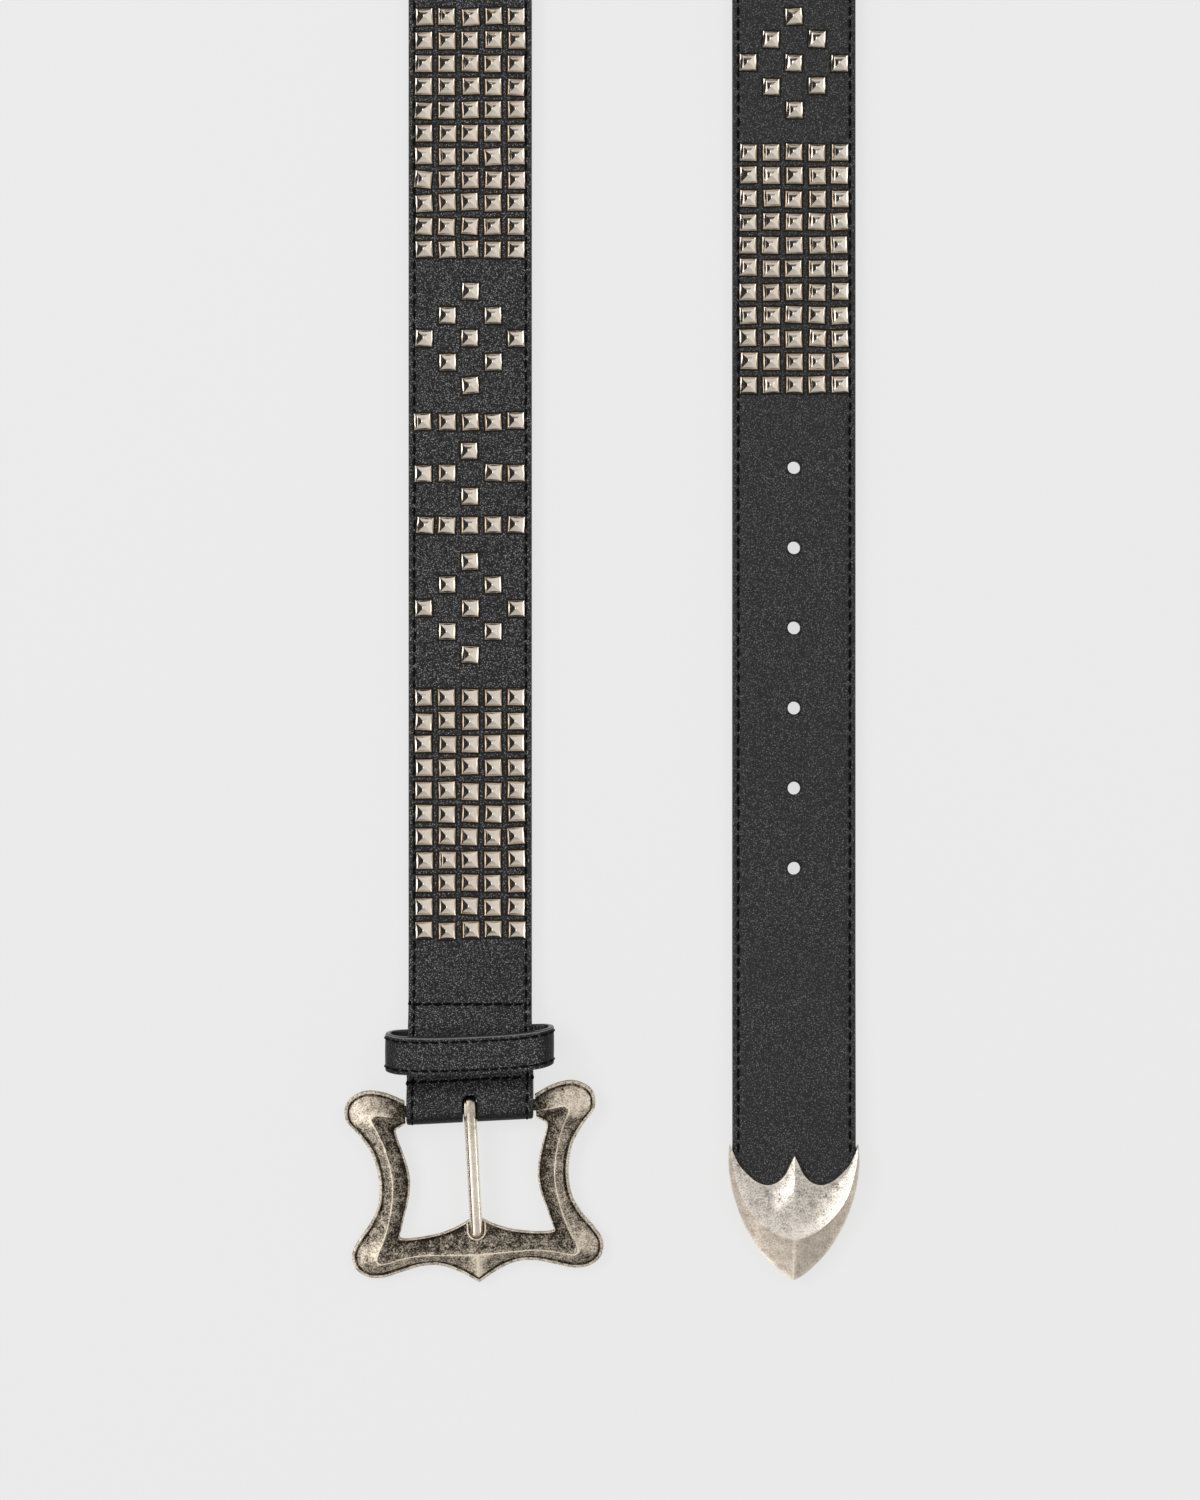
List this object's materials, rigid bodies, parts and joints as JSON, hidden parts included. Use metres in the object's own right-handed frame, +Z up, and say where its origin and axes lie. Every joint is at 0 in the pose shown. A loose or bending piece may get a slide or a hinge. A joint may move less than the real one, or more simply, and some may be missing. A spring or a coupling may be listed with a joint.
{
  "type": "studded leather belt",
  "caption": "Leather belt with pyramid studs in blocks and lozenges, scrolled metal buckle with a prong, keeper loop, punched strap and pointed metal tip, laid open in a U.",
  "frame": {"origin": "middle of the box round the belt, on the surface that it lies on", "axes": "+Y from the buckle and tip towards the turn of the U, along the legs; +Z up, away from the surface; +X from the buckle's leg to the tip's leg"},
  "size_m": [0.1604, 0.5248, 0.0387],
  "materials": {
    "leather": "pebble grain, semi-matt",
    "lining_leather": "smooth, matt",
    "antique_silver": "antiqued, dark in the hollows, rubbed bright on the ridges",
    "polished_prong": "polished"
  },
  "bodies": {
    "strap": {"studded_face": "leather", "lining": "lining_leather", "keeper_loop": "leather", "tip_cap": "antique_silver"},
    "buckle": {"buckle_frame": "antique_silver"},
    "prong": {"prong": "polished_prong"}
  },
  "joints": [
    {"name": "buckle_swing", "type": "hinge", "parent": "strap", "child": "buckle", "pos_m": [-0.04116, -0.20786, 0.0043], "axis": [-0.9986, -0.0523, 0], "range_deg": [0, 20]},
    {"name": "prong_swing", "type": "hinge", "parent": "buckle", "child": "prong", "pos_m": [-0.04116, -0.20786, 0.0043], "axis": [-0.9986, -0.0523, 0], "range_deg": [0, 75]}
  ]
}
